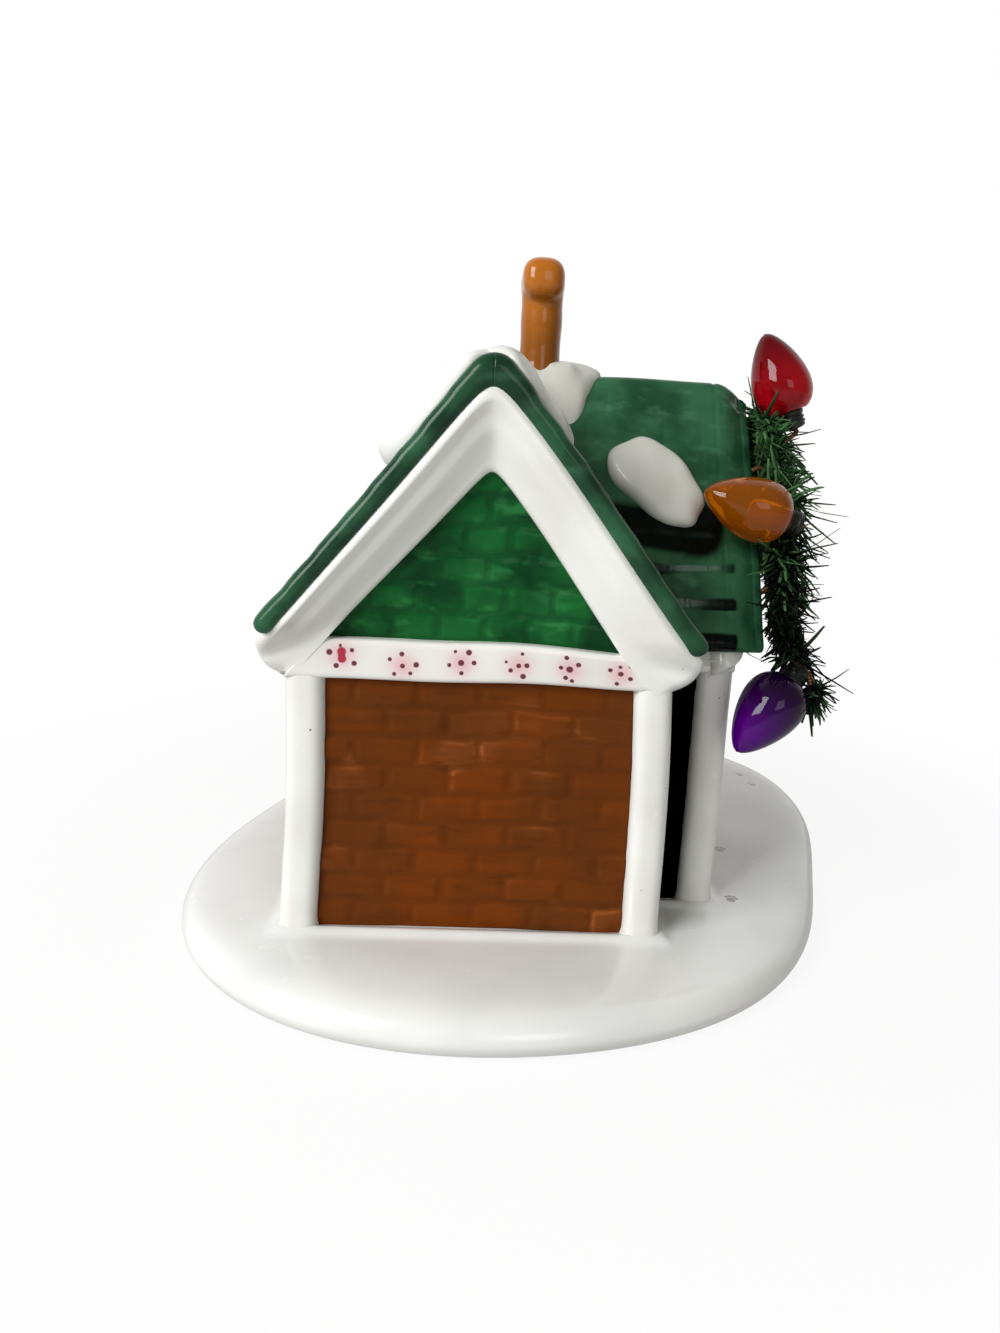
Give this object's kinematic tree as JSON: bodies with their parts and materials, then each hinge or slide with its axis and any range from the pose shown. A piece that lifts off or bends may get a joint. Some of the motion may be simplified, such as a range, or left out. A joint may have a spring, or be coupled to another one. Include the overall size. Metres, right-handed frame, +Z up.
{
  "type": "christmas village dog house",
  "caption": "Small glazed ceramic dog house on a snow base: brick walls, green shingle roofs crossing in a T, an upright bone on the ridge and a needle garland with bulbs over the door.",
  "frame": {"origin": "middle of the snow base's outline, on the surface that the base stands on", "axes": "+Z is up, +X points out of the door, and the side gable in the picture faces -Y"},
  "size_m": [0.1214, 0.1306, 0.1092],
  "materials": {
    "snow_glaze": "clear gloss glaze over white",
    "roof_snow": "clear gloss glaze over white",
    "white_glaze": "clear gloss glaze over white, red dots on the tie bands",
    "brick_glaze": "gloss glaze over brushed brown brickwork",
    "gable_green": "gloss glaze over green",
    "roof_green": "gloss glaze over green",
    "bone_tan": "gloss glaze over tan",
    "needles": "cut green plastic film",
    "wire": "dull wire",
    "bulb_cap": "dark moulded plastic",
    "red_plastic": "clear tinted plastic",
    "amber_plastic": "clear tinted plastic",
    "purple_plastic": "clear tinted plastic"
  },
  "bodies": {
    "root": {"snow_base": "snow_glaze", "side_panel_near": "brick_glaze", "side_panel_far": "brick_glaze", "back_wall": "brick_glaze", "door_wall": "brick_glaze", "door_trim": "white_glaze", "return_wall_near": "brick_glaze", "return_wall_far": "brick_glaze", "porch_wall_near": "brick_glaze", "porch_wall_far": "brick_glaze", "post_back_near": "white_glaze", "post_back_far": "white_glaze", "post_front_near": "white_glaze", "post_front_far": "white_glaze", "post_porch_near": "white_glaze", "post_porch_far": "white_glaze", "band_near": "white_glaze", "band_far": "white_glaze", "band_porch": "white_glaze", "tympanum_near": "gable_green", "tympanum_far": "gable_green", "tympanum_porch": "gable_green", "rake_near_back": "white_glaze", "rake_near_front": "white_glaze", "rake_far_back": "white_glaze", "rake_far_front": "white_glaze", "rake_porch_near": "white_glaze", "rake_porch_far": "white_glaze", "fascia_back": "white_glaze", "fascia_front_near": "white_glaze", "fascia_front_far": "white_glaze", "fascia_porch_near": "white_glaze", "fascia_porch_far": "white_glaze", "hall_roof_back": "roof_green", "hall_roof_front": "roof_green", "porch_roof_near": "roof_green", "porch_roof_far": "roof_green", "snow_back_slope": "roof_snow", "snow_ridge": "roof_snow", "snow_porch_slope": "roof_snow", "bone_finial": "bone_tan", "garland_near": "needles", "garland_far": "needles", "garland_ties": "wire", "bulb_red": "red_plastic", "bulb_amber": "amber_plastic", "bulb_purple": "purple_plastic", "bulb_far_mid": "purple_plastic", "bulb_far_low": "red_plastic", "bulb_caps": "bulb_cap", "bulb_wires": "wire"}
  },
  "joints": []
}
